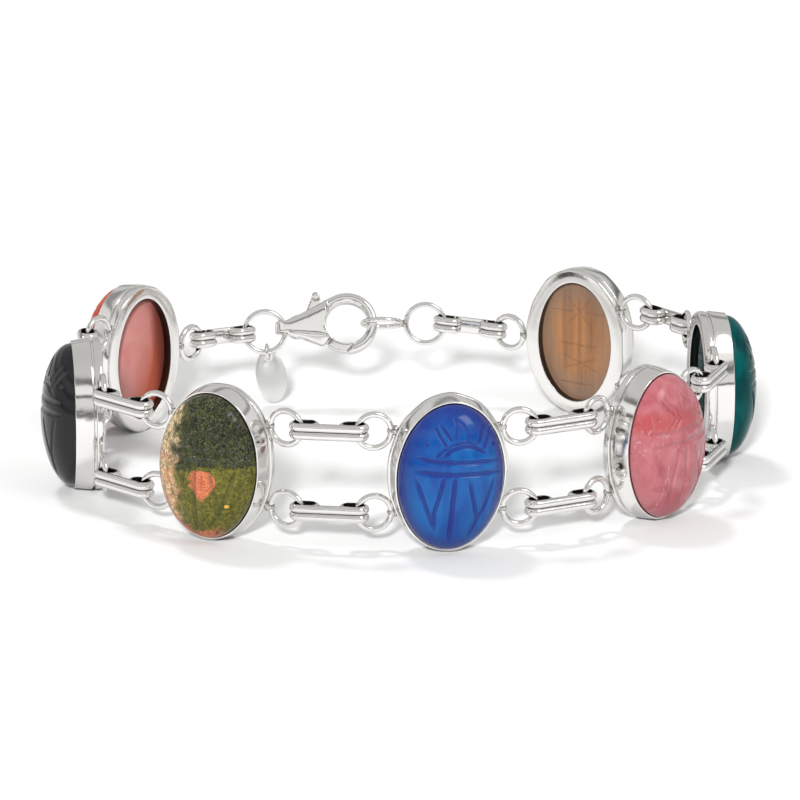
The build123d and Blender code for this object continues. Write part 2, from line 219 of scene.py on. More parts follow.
class Shader(Tree):
    """The node tree of one material, which reads its place on the piece in millimetres."""

    def __init__(self, name: str, lie: Lie | None = None) -> None:
        """Makes the material, with places in a piece's frame or in the model's own."""
        self.material = bpy.data.materials.new(name)
        self.material.use_nodes = True
        super().__init__(self.material.node_tree)
        values = {"Vector": self.node("ShaderNodeTexCoord").outputs["Object"], "Scale": (MM, MM, MM)}
        if lie is not None:
            turn = Matrix(lie.axes().tolist()).to_euler()
            values |= {"Location": tuple(lie.origin() * MM), "Rotation": turn}
        self.place = self.node("ShaderNodeMapping", values, vector_type="TEXTURE")

    def noise(self, scale: float, detail: float = 3.0, rough: float = 0.55, bend: float = 0.0,
              stretch: Triple | None = None) -> Sock:
        """Cloudy noise from 0 to 1.

        Args:
            scale: How many blots to a unit.
            detail: How many finer layers.
            rough: Weight of the finer layers.
            bend: How far the pattern is pulled about.
            stretch: How many times closer the blots are along each axis.

        Returns:
            The noise.
        """
        vector = self.place
        if stretch is not None:
            vector = self.node("ShaderNodeMapping", {"Vector": vector, "Scale": stretch})
        values = {"Vector": vector, "Scale": scale, "Detail": detail, "Roughness": rough, "Distortion": bend}
        return self.sock(self.node("ShaderNodeTexNoise", values), "Fac")

    def coats(self, colour: Value, *layers: tuple[Value, Value]) -> Sock:
        """Lays colours over a first one.

        Args:
            colour: The lowest colour, as three numbers or a socket.
            *layers: How much of a further colour shows, from 0 to 1, and that colour.

        Returns:
            The mixed colour.
        """
        for share, layer in layers:
            first, second = ((*c, 1.0) if isinstance(c, tuple) else c for c in (colour, layer))
            made = self.node("ShaderNodeMix", {0: share, 6: first, 7: second}, data_type="RGBA")
            colour = self.sock(made, 2)
        return colour

    def mark(self, name: str) -> Sock:
        """A value kept on the mesh's vertices."""
        return self.sock(self.node("ShaderNodeAttribute", attribute_name=name), "Fac")

    def surface(self, values: dict) -> Material:
        """Ends the tree in a surface with the given inputs."""
        self.node("ShaderNodeOutputMaterial", {"Surface": self.node("ShaderNodeBsdfPrincipled", values)})
        return self.material

    def metal(self, colour: Sock, rough: Sock, relief: Sock, strength: float, depth: float) -> Material:
        """Ends the tree in a bumped metal.

        Args:
            colour: Its colour.
            rough: Its roughness.
            relief: Height of the bumps, from 0 to 1.
            strength: How much of them shows.
            depth: Their full height.

        Returns:
            The finished material.
        """
        normal = self.node("ShaderNodeBump", {"Height": relief, "Strength": strength, "Distance": depth * MM})
        return self.surface({"Base Color": colour, "Metallic": 1.0, "Roughness": rough, "Normal": normal})


# Finishes


@dataclass(frozen=True)
class PolishedSilver:
    """Bright silver, polished by hand, with duller solder, painted dark reflections where its surface turns
    away from the view, and painted shade in its hollows.
    """

    colour: Triple = (0.9, 0.885, 0.865)
    # Painted dark reflection, laid where the surface turns away from the view.
    edge: Triple = (0.07, 0.064, 0.06)
    tarnish: Triple = (0.22, 0.2, 0.185)
    # Painted shade for hollows, where the marks are below zero.
    painted_hollow_shade: Triple = (0.015, 0.013, 0.012)
    roughness: float = 0.13
    ripple: float = 0.02

    def make(self) -> Material:
        """Builds the material."""
        shader = Shader("polished_silver")
        # The mark is above zero on solder and below zero where shade is painted.
        mark = shader.mark("solder")
        solder = mark.larger(0.0)
        scuffs = shader.noise(2.2, 5.0, 0.7, stretch=(1.0, 1.0, 5.0))
        grains = shader.noise(5.0, 3.0, 0.6)
        worn = solder * grains.step(0.42, 0.6)
        turned = shader.sock(shader.node("ShaderNodeLayerWeight", {"Blend": 0.5}), "Facing")
        colour = shader.coats(
            self.colour,
            # Painted dark reflection at the edges that turn away from the view.
            (turned.power(2.6) * 0.95, self.edge),
            (worn * 0.75 + solder * 0.15, self.tarnish),
            # Painted shade in the hollows of the curls and on the walls of the openings.
            ((mark * -1.0).larger(0.0), self.painted_hollow_shade),
        )
        rough = shader.noise(0.35, 2.0) * 0.05 + scuffs.step(0.55, 0.8) * 0.1 + solder * 0.14
        relief = shader.noise(0.9, 2.0, 0.5) + solder * grains * 4.0
        return shader.metal(colour, rough + (self.roughness - 0.03), relief, 0.6, self.ripple)


@dataclass(frozen=True)
class MattSilver:
    """Silver brushed along its length."""

    colour: Triple = (0.98, 0.98, 0.97)
    groove: Triple = (0.92, 0.92, 0.91)
    roughness: float = 0.42
    ripple: float = 0.008

    def make(self) -> Material:
        """Builds the material."""
        shader = Shader("matt_silver", JUMP_BOTTOM)
        lines = shader.noise(2.0, 4.0, 0.6, stretch=(9.0, 0.6, 9.0))
        rough = lines * 0.2 + shader.noise(0.6, 2.0) * 0.08 + (self.roughness - 0.14)
        colour = shader.coats(self.colour, (lines * 0.35, self.groove))
        return shader.metal(colour, rough, lines, 0.4, self.ripple)


def glow(weight: float, radius: Triple) -> dict:
    """Inputs of a surface into which light sinks, each of its three colours so many millimetres."""
    return {"Subsurface Weight": weight, "Subsurface Radius": radius, "Subsurface Scale": MM}


class Gem(Shader):
    """What all the stones' finishes share: a polished surface over a coloured body, and painted shade where
    the stone sits in its bezel.
    """

    polish = 0.08
    density = 1.38
    # Painted shade where the stone sits down in the bezel.
    seat: Triple = (0.004, 0.004, 0.006)

    def __init__(self, stone: Stone, lie: Lie) -> None:
        """Starts the material of a stone that lies so."""
        super().__init__(f"stone_{stone.value}", lie)
        split = self.node("ShaderNodeSeparateXYZ", {0: self.place})
        self.parts = [self.sock(split, axis) for axis in range(3)]
        self.carved = self.mark("carved")

    def make(self) -> Material:
        """Builds the material."""
        colour, values = self.body()
        out = self.parts[2]
        rough = self.noise(3.0, 4.0, 0.7) * 0.12 + self.carved * 0.16 + self.polish
        # Painted shade low on the stone's side, where it sits in the bezel.
        colour = self.coats(colour, (out.step(2.98, 2.78) * out.step(1.4, 2.0), self.seat))
        return self.surface({"Base Color": colour, "Roughness": rough, "IOR": self.density} | values)

    def body(self) -> tuple[Sock, dict]:
        """The stone's own colour, and other inputs of the surface by name."""
        raise NotImplementedError

    def rim(self) -> Sock:
        """How near the stone's edge a point is: 0 in the middle and 1 at the edge."""
        across, up, _ = self.parts
        return ((across / HALF_WIDTH).power(2.0) + (up / HALF_HEIGHT).power(2.0)).power(0.5)


class BlueAgate(Gem):
    """Translucent blue, lighter in the middle and violet at the edge and in the carving."""

    def body(self) -> tuple[Sock, dict]:
        """See Gem."""
        streaks = self.noise(0.55, 3.0, 0.5, 0.6, (1.0, 0.28, 1.0))
        return self.coats(
            (0.003, 0.034, 0.165),
            (streaks.step(0.35, 0.68), (0.003, 0.068, 0.22)),
            (self.noise(0.3, 2.0).step(0.4, 0.7) * 0.35, (0.005, 0.03, 0.16)),
            (self.rim().step(0.72, 1.04), (0.008, 0.016, 0.12)),
            (self.carved * 0.75, (0.00756, 0.0109, 0.118)),
        ), glow(0.25, (0.3, 0.8, 2.0))


class PinkRhodochrosite(Gem):
    """Rose with a deeper band, cloudy pale patches and fine white veins."""

    def body(self) -> tuple[Sock, dict]:
        """See Gem."""
        across, up, _ = self.parts
        cloud = self.noise(0.4, 4.0, 0.55, 0.4)
        band = (up - 3.1 + cloud * 1.2 - 0.6).power(2.0).step(1.6, 0.0)
        belt = ((up - 1.4) * 0.55).power(2.0).step(1.0, 0.1)
        specks = self.noise(2.3, 6.0, 0.75, 0.8)
        grain = self.noise(1.0, 4.0, 0.65, stretch=(5.0, 0.35, 1.0))
        bend = self.noise(0.5, 3.0) * 1.2
        vein = (across + 1.5 + bend - up * 0.06).power(2.0).step(0.008, 0.0) * up.step(1.0, -1.0)
        return self.coats(
            (0.242, 0.0572, 0.0719),
            (cloud.step(0.3, 0.7), (0.309, 0.109, 0.12)),
            (band * 0.6, (0.262, 0.0409, 0.0409)),
            (specks.step(0.54, 0.72) * belt * 0.85, (0.417, 0.293, 0.278)),
            (grain.step(0.52, 0.7) * (across.step(0.2, 3.0) * 0.7 + 0.15), (0.39, 0.232, 0.224)),
            (vein * specks.step(0.45, 0.66) * 0.4, (0.43, 0.34, 0.309)),
        ), glow(0.3, (1.6, 0.6, 0.5)) | {"Roughness": specks * 0.1 + 0.12}


class GreenOnyx(Gem):
    """Dark even sea green."""

    def body(self) -> tuple[Sock, dict]:
        """See Gem."""
        cloud = self.noise(0.5, 3.0, 0.5, 0.5, (1.0, 0.4, 1.0))
        return self.coats(
            (0, 0.0252, 0.0269),
            (cloud.step(0.3, 0.72), (0.00084, 0.0563, 0.0563)),
            (self.carved * 0.5, (0, 0.0168, 0.0185)),
        ), glow(0.2, (0.1, 0.8, 0.7)) | {"Specular IOR Level": 0.12}


class TigerEye(Gem):
    """Brown silk in upright threads, greyer towards the edge."""

    def body(self) -> tuple[Sock, dict]:
        """See Gem."""
        threads = self.noise(1.3, 5.0, 0.6, 0.3, (6.0, 0.35, 2.0))
        bands = self.noise(0.8, 2.0, 0.5, 0.2, (1.0, 0.08, 1.0))
        return self.coats(
            (0.131, 0.0622, 0.0294),
            (bands.step(0.3, 0.7), (0.286, 0.129, 0.0504)),
            (threads.step(0.4, 0.72) * 0.6, (0.235, 0.112, 0.0504)),
            (self.rim().step(0.35, 0.85) * 0.75, (0.138, 0.0941, 0.0689)),
            (self.carved * 0.5, (0.101, 0.0462, 0.0286)),
        ), glow(0.1, (1.0, 0.5, 0.2))


class Carnelian(Gem):
    """Translucent orange red, milky at the back and clearer towards one side, with painted shade along one
    side of the back under the wall of its opening.
    """

    def body(self) -> tuple[Sock, dict]:
        """See Gem."""
        across, up, out = self.parts
        cloud = self.noise(0.35, 3.0, 0.5, 0.4)
        back = self.coats(
            (0.378, 0.129, 0.118),
            (cloud.step(0.3, 0.7), (0.412, 0.176, 0.16)),
            ((across * -0.3 - up * 0.16).step(-0.2, 1.0), (0.336, 0.0756, 0.042)),
            # Painted shade along one side of the back, where the wall of the opening shades it.
            ((up * 0.12 - across).step(2.0, 3.7) * 0.95, (0.15, 0.035, 0.025)),
        )
        front = self.coats((0.252, 0.0294, 0.0126), (cloud.step(0.3, 0.75), (0.353, 0.0672, 0.0252)))
        carving = (self.carved * 0.5, (0.252, 0.0252, 0.0126))
        return self.coats(back, (out.step(1.0, 1.6), front), carving), glow(0.4, (2.4, 0.7, 0.4))


class BlackOnyx(Gem):
    """Near black, a little duller in the carving."""

    def body(self) -> tuple[Sock, dict]:
        """See Gem."""
        return self.coats(
            (0.00504, 0.0042, 0.00504),
            (self.noise(0.5, 4.0, 0.6), (0.0101, 0.00924, 0.0101)),
            (self.carved * 0.7, (0.0294, 0.0277, 0.0286)),
        ), {}


class Unakite(Gem):
    """Mottled green and near black above, olive below, with salmon patches."""

    def body(self) -> tuple[Sock, dict]:
        """See Gem."""
        across, up, _ = self.parts
        fine = self.noise(2.6, 6.0, 0.75, 0.9)
        crumbs = self.noise(6.0, 4.0, 0.8, 0.4)
        blots = self.noise(1.5, 6.0, 0.8, 1.4)
        wave, ripple = self.noise(0.8, 5.0, 0.65, 0.6) - 0.5, fine - 0.5
        olive = self.coats(
            (0.032, 0.034, 0.003),
            (fine.step(0.38, 0.66), (0.12, 0.105, 0.013)),
            (blots.step(0.55, 0.7) * 0.5, (0.17, 0.14, 0.03)),
        )
        dark = self.coats(
            (0.004, 0.005, 0.004),
            (fine.step(0.44, 0.6), (0.032, 0.036, 0.008)),
            (blots.step(0.52, 0.62) * 0.8, (0.05, 0.052, 0.014)),
            (crumbs.step(0.55, 0.66), (0.12, 0.115, 0.1)),
        )
        pale = self.coats(
            (0.1, 0.09, 0.045),
            (fine.step(0.42, 0.6), (0.62, 0.44, 0.25)),
            (blots.step(0.5, 0.56) * up.step(2.5, 0.5), (0.45, 0.17, 0.09)),
        )
        salmon = self.coats(
            (0.2, 0.04, 0.014),
            (crumbs.step(0.36, 0.66), (0.5, 0.16, 0.08)),
            (blots.step(0.58, 0.68) * 0.7, (0.56, 0.27, 0.16)),
        )
        upper = (up - 0.5 + wave * 3.0 - across * 0.1).step(-0.35, 0.3)
        left = (across + 2.2 + wave * 5.0 + ripple * 3.0).step(0.7, -0.7)
        reach = ((across - 0.7) / (up * 0.35 + 1.6)).power(2.0) + ((up + 1.1) / 1.6).power(2.0) + wave * 2.2
        reach = reach + ripple * 1.8 + up.step(0.1, 0.6)
        lower = (self.rim() + wave * 0.35 + ripple * 0.3).step(0.84, 0.92) * up.step(-2.2, -3.4)
        away = ((across - 2.9) / 0.26).power(2.0) + ((up + 3.1) / 0.2).power(2.0) + ripple * 2.0
        return self.coats(
            olive,
            (upper, dark),
            (left * 0.9, pale),
            (reach.step(1.05, 0.85), salmon),
            (lower * across.step(2.4, 1.0), salmon),
            (away.step(2.6, 1.6) * 0.7, (0.02, 0.02, 0.005)),
            (away.step(1.1, 0.5), (0.45, 0.25, 0.03)),
            (self.carved * crumbs.step(0.3, 0.6) * 0.45, (0.02, 0.024, 0.012)),
        ), {"Roughness": fine * 0.12 + 0.1}


# Objects and meshes


def show(name: str, data: bpy.types.ID) -> Object:
    """Puts a new object with the given data into the scene."""
    made = bpy.data.objects.new(name, data)
    bpy.context.scene.collection.objects.link(made)
    return made


def settled(holder: Object) -> Mesh:
    """The mesh that an object's modifiers give. The object goes."""
    graph = bpy.context.evaluated_depsgraph_get()
    result = bpy.data.meshes.new_from_object(holder.evaluated_get(graph))
    bpy.data.objects.remove(holder)
    return result


def coordinates(mesh: Mesh) -> np.ndarray:
    """A mesh's points, as rows of x, y and z."""
    points = np.zeros(len(mesh.vertices) * 3)
    mesh.vertices.foreach_get("co", points)
    return points.reshape(-1, 3)


def claim(made: Object, node: str, body: str = "bracelet") -> Object:
    """Says what a piece stands for.

    Args:
        made: The piece.
        node: The CAD node that it replaces.
        body: The body that it rides on.

    Returns:
        The same piece.
    """
    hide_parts(node)
    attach(made, body)
    return made


class Form:
    """Points and faces of one piece in its own frame, with a mark on every point."""

    def __init__(self) -> None:
        """Starts empty."""
        self.points: list[np.ndarray] = []
        self.marks: list[np.ndarray] = []
        self.faces: list[tuple[int, ...]] = []

    def add(self, points: np.ndarray, faces: Iterable, mark: Union[float, np.ndarray] = 0.0) -> None:
        """Adds one closed shell.

        Args:
            points: Rows of x, y and z in millimetres.
            faces: Rows of point numbers.
            mark: The mark of these points.
        """
        start = sum(map(len, self.points))
        self.points.append(points)
        self.marks.append(np.broadcast_to(mark, len(points)))
        self.faces.extend(tuple(int(i) + start for i in face) for face in faces)

    def add_mesh(self, mesh: Mesh, points: np.ndarray, mark: Union[float, np.ndarray] = 0.0) -> None:
        """Adds a mesh with its points moved to the given ones, and removes it."""
        self.add(points, [tuple(p.vertices) for p in mesh.polygons], mark)
        bpy.data.meshes.remove(mesh)

    def make(self, name: str, lie: Lie, finish: Material, mark: str = "solder") -> Object:
        """Makes the object.

        Args:
            name: The object's name.
            lie: Where the piece lies.
            finish: Its material.
            mark: The name under which the mesh keeps the marks.

        Returns:
            The object, with its place in its mesh.
        """
        mesh = bpy.data.meshes.new(name)
        mesh.from_pydata(lie.to_model(np.concatenate(self.points)).tolist(), [], self.faces)
        kept = mesh.attributes.new(mark, "FLOAT", "POINT")
        kept.data.foreach_set("value", np.concatenate(self.marks).astype(np.float32))
        work = bmesh.new()
        work.from_mesh(mesh)
        bmesh.ops.recalc_face_normals(work, faces=work.faces)
        work.to_mesh(mesh)
        work.free()
        mesh.shade_smooth()
        mesh.materials.append(finish)
        return show(name, mesh)


def grid(rows: int, columns: int, round_rows: bool = False, round_columns: bool = False) -> np.ndarray:
    """Faces of a grid of points.

    Args:
        rows: Number of rows.
        columns: Number of points in a row.
        round_rows: Whether the last row joins the first.
        round_columns: Whether the last column joins the first.

    Returns:
        Rows of four point numbers.
    """
    i = np.arange(rows if round_rows else rows - 1)[:, None]
    j = np.arange(columns if round_columns else columns - 1)[None, :]
    below, right = (i + 1) % rows, (j + 1) % columns
    faces = [i * columns + j, i * columns + right, below * columns + right, below * columns + j]
    return np.stack([np.broadcast_to(f, (i.size, j.size)) for f in faces], axis=-1).reshape(-1, 4)


def circle(count: int) -> tuple[np.ndarray, np.ndarray]:
    """Cosines and sines of so many even turns."""
    turn = np.linspace(0, 2 * pi, count, endpoint=False)
    return np.cos(turn), np.sin(turn)


def mirrored(points: Sequence[Point]) -> list[Point]:
    """Points with x turned round, in the opposite order."""
    return [(-x, y) for x, y in points][::-1]


def rounded(corners: Sequence[tuple[float, ...]], steps: int = 5) -> np.ndarray:
    """A closed outline with its corners rounded.

    Args:
        corners: Rows of coordinates that end in the corner's radius.
        steps: Points on each rounded corner.

    Returns:
        Points of the outline, without the radius.
    """
    rows = np.array(corners, float)
    places, radii = rows[:, :-1], rows[:, -1]
    outline = []
    for k, (here, radius) in enumerate(zip(places, radii)):
        back, on = places[k - 1] - here, places[(k + 1) % len(places)] - here
        back_length, on_length = np.linalg.norm(back), np.linalg.norm(on)
        reach = min(radius, back_length * 0.45, on_length * 0.45)
        if reach < 1e-6:
            outline.append(here)
            continue
        start, end = here + back / back_length * reach, here + on / on_length * reach
        for t in np.linspace(0, 1, steps):
            outline.append((1 - t) ** 2 * start + 2 * t * (1 - t) * here + t**2 * end)
    return np.array(outline)


def evaluated(points: Sequence, edges: Sequence[tuple], group: NodeTree, values: dict) -> Mesh:
    """Runs a geometry tree on a bare set of points and edges.

    Args:
        points: Rows of x, y and z in millimetres.
        edges: Pairs of point numbers.
        group: The geometry tree.
        values: Values of its inputs by name.

    Returns:
        A plain mesh in millimetres.
    """
    base = bpy.data.meshes.new("base")
    base.from_pydata(np.asarray(points, float).tolist(), edges, [])
    holder = show("holder", base)
    modifier = holder.modifiers.new("shape", "NODES")
    modifier.node_group = group
    for item in group.interface.items_tree:
        if item.item_type == "SOCKET" and item.in_out == "INPUT" and item.name in values:
            modifier[item.identifier] = values[item.name]
    result = settled(holder)
    bpy.data.meshes.remove(base)
    return result


class GeometryTree(Tree):
    """A geometry tree with named inputs, whose result is a little uneven."""

    def __init__(self, name: str, inputs: dict[str, Union[float, str]]) -> None:
        """Makes the tree.

        Args:
            name: The tree's name.
            inputs: The value, or the socket type, of each input by name.
        """
        super().__init__(bpy.data.node_groups.new(name, "GeometryNodeTree"))
        shared = {"Unevenness": 0.02, "Seed": 0.0, "Material": "NodeSocketMaterial"}
        for title, value in ({"Geometry": "NodeSocketGeometry"} | inputs | shared).items():
            kind = "NodeSocketFloat" if isinstance(value, float) else value
            socket = self.tree.interface.new_socket(title, in_out="INPUT", socket_type=kind)
            if isinstance(value, float):
                socket.default_value = value
        self.tree.interface.new_socket("Geometry", in_out="OUTPUT", socket_type="NodeSocketGeometry")
        self.given = self.node("NodeGroupInput").outputs

    def end(self, shape: Node, lumps: float) -> NodeTree:
        """Ends the tree in uneven, real and smooth geometry of one material.

        Args:
            shape: The node that gives the shape.
            lumps: How many lumps to a millimetre.

        Returns:
            The finished tree.
        """
        values = {"Scale": lumps, "Detail": 1.0, "W": self.given["Seed"]}
        noise = self.node("ShaderNodeTexNoise", values, noise_dimensions="4D").outputs["Color"]
        even = self.node("ShaderNodeVectorMath", {0: noise, 1: (0.5, 0.5, 0.5)}, operation="SUBTRACT")
        values = {0: even, "Scale": self.given["Unevenness"]}
        push = self.node("ShaderNodeVectorMath", values, operation="SCALE")
        uneven = self.node("GeometryNodeSetPosition", {0: shape, "Offset": push})
        real = self.node("GeometryNodeRealizeInstances", {0: uneven})
        smooth = self.node("GeometryNodeSetShadeSmooth", {0: real})
        dressed = self.node("GeometryNodeSetMaterial", {0: smooth, "Material": self.given["Material"]})
        self.node("NodeGroupOutput", {0: dressed})
        return self.tree


def ring_tree() -> NodeTree:
    """Tree that puts a ring of round wire on every point, in the plane of x and y."""
    tree = GeometryTree("wire_rings", {"Ring radius": 1.58, "Wire radius": 0.275})
    circles = []
    for name, count in (("Ring radius", 72), ("Wire radius", 20)):
        values = {"Resolution": count, "Radius": tree.given[name]}
        circles.append(tree.node("GeometryNodeCurvePrimitiveCircle", values, mode="RADIUS"))
    ring = tree.node("GeometryNodeCurveToMesh", {"Curve": circles[0], "Profile Curve": circles[1]})
    many = tree.node("GeometryNodeInstanceOnPoints", {"Points": tree.given["Geometry"], "Instance": ring})
    return tree.end(tree.node("GeometryNodeRealizeInstances", {0: many}), 0.9)


def strip_tree() -> NodeTree:
    """Tree that sweeps a section, given as an object, along a path of edges in the plane of x and y."""
    tree = GeometryTree("swept_strip", {"Section": "NodeSocketObject", "Step": 0.1})
    path = tree.node("GeometryNodeMeshToCurve", {"Mesh": tree.given["Geometry"]})
    values = {"Curve": path, "Length": tree.given["Step"]}
    even = tree.node("GeometryNodeResampleCurve", values, mode="LENGTH")
    level = tree.node("GeometryNodeSetCurveNormal", {"Curve": even}, mode="Z_UP")
    given = tree.node("GeometryNodeObjectInfo", {"Object": tree.given["Section"]})
    section = tree.node("GeometryNodeMeshToCurve", {"Mesh": given.outputs["Geometry"]})
    values = {"Curve": level, "Profile Curve": section, "Fill Caps": True}
    return tree.end(tree.node("GeometryNodeCurveToMesh", values), 0.8)


# Pieces of the bracelet


@dataclass(frozen=True)
class Kit:
    """What the metal pieces share: two finishes, two geometry trees and the bar links' section."""

    silver: Material
    matt: Material
    rings: NodeTree
    strips: NodeTree
    section: Object

    def wires(self, radius: float, wire: float, seed: float, centres: Sequence = ((0.0, 0.0, 0.0),)) -> Mesh:
        """Makes rings of round wire in the plane of x and y.

        Args:
            radius: Their radius.
            wire: Their wire's diameter.
            seed: Makes them uneven in one way or another.
            centres: Where they lie.

        Returns:
            Their mesh.
        """
        values = {"Ring radius": radius, "Wire radius": wire / 2, "Seed": seed, "Material": self.silver}
        return evaluated(centres, [], self.rings, values)


@dataclass
class StoneSetting:
    """Back plate, bezel and soldered rings around one stone."""

    stone: Stone
    lie: Lie
    single_left: bool = False
    single_right: bool = False
    clearance: float = 0.05
    ledge: float = 0.87
    ledge_height: float = 0.9
    plate: float = 0.8
    plate_side: float = 0.65
    plate_end: float = 0.45
    groove_wall: float = 0.27
    groove_top: float = 1.05
    foot: float = 0.47
    lip: float = 0.23
    height: float = 2.82
    ring_radius: float = 1.62
    wire: float = 0.58
    ring_level: float = 0.3
    spacing: float = 7.9
    pair_gap: float = 0.17
    end_gap: float = 0.05
    unevenness: float = 0.022
    joint_radius: float = 0.52
    joint_taper: float = 0.2
    joint_root: float = 0.2
    joint_overlap: float = 0.12
    # How deep the painted shade on the walls of the opening is.
    shade: float = 0.9
    turns: int = 160

    def section(self) -> np.ndarray:
        """Section of the band: how far out it is at the sides, at the ends, and its height."""
        rows = (
            (-self.ledge, 0.0, 0.12),
            (-self.ledge, self.ledge_height, 0.06),
            (self.clearance, self.ledge_height, 0.0),
            (self.clearance, self.height, 0.06),
            (self.lip, self.height, 0.09),
            (self.foot - 0.03, self.groove_top + 0.35, 0.25),
            (self.foot, self.groove_top, 0.1),
            (self.groove_wall, self.groove_top - 0.03, 0.05),
            (self.groove_wall, self.plate, 0.03),
        )
        edge = [(self.plate_side, self.plate_end, *row) for row in ((self.plate, 0.16), (0.0, 0.34))]
        return rounded([(row[0], *row) for row in rows] + edge)

    def band(self) -> tuple[np.ndarray, np.ndarray, np.ndarray]:
        """Points, faces and marks of the band around the stone, with painted shade marked on the walls of its
        opening.
        """
        section = self.section()
        turn = np.linspace(0, 2 * pi, self.turns, endpoint=False)[:, None]
        side, end, height = section.T
        seed = list(Stone).index(self.stone)
        shift = self.unevenness * sum(np.sin(k * turn + seed * k) for k in (2, 3, 5, 8, 13))
        outer = np.clip((side - self.clearance) / self.lip, 0, 1)
        x = (HALF_WIDTH + side + shift * outer) * np.cos(turn)
        y = (HALF_HEIGHT + end + shift * outer) * np.sin(turn)
        points = np.stack([x, y, np.broadcast_to(height, x.shape)], axis=-1).reshape(-1, 3)
        # Marks below zero paint shade on the walls of the opening.
        marks = np.tile(-self.shade * (side < -self.ledge + 0.02), self.turns)
        return leaned(points, self.stone), grid(self.turns, len(section), True, True), marks

    def edge_at(self, height: float) -> float:
        """Half width of the back plate at a height above its middle."""
        return (HALF_WIDTH + self.plate_side) * sqrt(1 - (height / (HALF_HEIGHT + self.plate_end)) ** 2)

    def ring_places(self) -> list[tuple[int, float]]:
        """Side and height of each ring."""
        pair = (self.spacing / 2, -self.spacing / 2)
        left, right = ((0.0,) if single else pair for single in (self.single_left, self.single_right))
        return [(-1, height) for height in left] + [(1, height) for height in right]

    def ring_centre(self, side: int, height: float) -> float:
        """How far along the chain a ring's centre is from the setting's middle."""
        gap = self.pair_gap if height else self.end_gap
        return side * (self.edge_at(abs(height)) + gap + self.wire / 2 + self.ring_radius)

    def joint(self, side: int, height: float, seed: int, rows: int = 12, columns: int = 24) -> Shell:
        """Points and faces of the solder between the plate and a ring.

        Args:
            side: -1 or 1.
            height: Height of the ring's centre.
            seed: Makes each joint a little different.
            rows: Steps from the plate to the ring.
            columns: Points around each of them.

        Returns:
            Points and faces.
        """
        rng = np.random.default_rng(seed)
        wall = self.edge_at(height) - self.joint_root
        end = abs(self.ring_centre(side, height)) - self.ring_radius + self.wire / 2 + self.joint_overlap
        share = np.linspace(0, 1, rows)
        waist = (self.joint_radius - self.joint_taper * share) * (1 - np.abs(2 * share - 1) ** 5) ** 0.5
        waist[0] = waist[-1] = 0.02
        bumps = 1 + 0.1 * rng.standard_normal((rows, columns))
        bumps = (bumps + np.roll(bumps, 1, 1) + np.roll(bumps, -1, 1)) / 3
        radius = waist[:, None] * bumps
        x = np.broadcast_to(side * (wall + (end - wall) * share)[:, None], radius.shape)
        across, up = circle(columns)
        y = height + radius * across * 1.05
        z = self.ring_level + radius * up * 0.85
        caps = [range(columns), range((rows - 1) * columns, rows * columns)]
        return np.stack([x, y, z], axis=-1).reshape(-1, 3), [*grid(rows, columns, False, True), *caps]

    def build(self, kit: Kit) -> Object:
        """Builds the setting.

        Args:
            kit: What the metal pieces share.

        Returns:
            The object.
        """
        form = Form()
        form.add(*self.band())
        seed = list(Stone).index(self.stone)
        places = self.ring_places()
        centres = [(self.ring_centre(side, height), height, self.ring_level) for side, height in places]
        rings = kit.wires(self.ring_radius, self.wire, float(seed), centres)
        form.add_mesh(rings, coordinates(rings))
        for number, (side, height) in enumerate(places):
            form.add(*self.joint(side, height, seed * 7 + number), 1.0)
        name = f"setting_{self.stone.value}"
        return claim(form.make(f"{name}_silver", self.lie, kit.silver), name)


@dataclass(frozen=True)
class Cut:
    """One carved line, as points in shares of the stone's half width and half height."""

    line: tuple[Point, ...]
    width: float = 0.34
    depth: float = 1.0


SCARAB = (
    Cut(((-0.74, 0.317), (-0.46, 0.3), (-0.2, 0.297), (0.3, 0.305), (0.8, 0.32)), 0.56),
    Cut(((-0.74, 0.13), (-0.39, 0.125), (-0.08, 0.13), (0.47, 0.15), (0.84, 0.165)), 0.6),
    Cut(((0.003, 0.14), (-0.009, -0.29), (-0.003, -0.83)), 0.58, 1.1),
    Cut(((-0.73, 0.03), (-0.595, -0.19), (-0.461, -0.42), (-0.28, -0.69)), 0.5),
    Cut(((-0.204, 0.12), (-0.261, -0.145), (-0.343, -0.42), (-0.3, -0.68)), 0.46),
    Cut(((0.286, 0.04), (0.38, -0.188), (0.484, -0.49)), 0.48),
    Cut(((0.765, 0.08), (0.648, -0.238), (0.503, -0.49), (0.36, -0.76)), 0.48),
    Cut(((-0.43, 0.32), (-0.254, 0.453), (-0.067, 0.535), (0.177, 0.572), (0.382, 0.537)), 0.34, 0.8),
    Cut(((-0.271, 0.345), (-0.096, 0.462), (0.12, 0.517), (0.339, 0.508), (0.6, 0.418)), 0.42),
    Cut(((-0.416, 0.733), (-0.323, 0.624), (-0.193, 0.498))),
    Cut(((-0.322, 0.78), (-0.215, 0.679), (-0.084, 0.567))),
    Cut(((0.516, 0.787), (0.479, 0.674), (0.401, 0.547)), 0.4),
    Cut(((0.649, 0.725), (0.599, 0.59), (0.506, 0.475)), 0.4),
    Cut(((-0.02, 0.84), (0.11, 0.78), (0.2, 0.68), (0.227, 0.584)), 0.4, 0.5),
    Cut(((-0.06, 0.86), (-0.004, 0.773), (-0.007, 0.6)), 0.34, 0.45),
    Cut(((-0.561, 0.508), (-0.555, 0.508)), 0.5, 0.7),
    Cut(((0.719, 0.532), (0.725, 0.532)), 0.42, 1.2),
)
UNDERSIDE = (
    Cut(((-0.62, 0.42), (-0.1, 0.42)), 0.12),
    Cut(((0.12, 0.42), (0.62, 0.42)), 0.12),
    Cut(((-0.3, 0.66), (0.0, 0.42), (0.28, 0.2)), 0.12),
    Cut(((0.3, 0.66), (0.0, 0.42), (-0.3, 0.2)), 0.12),
    Cut(((0.0, 0.7), (0.0, -0.3)), 0.1),
    Cut(((-0.48, -0.06), (0.46, -0.08)), 0.14),
    Cut(((-0.4, -0.22), (0.5, -0.46)), 0.12),
    Cut(((0.42, -0.24), (-0.36, -0.44)), 0.12),
    Cut(((-0.44, -0.64), (0.34, -0.65)), 0.14),
)


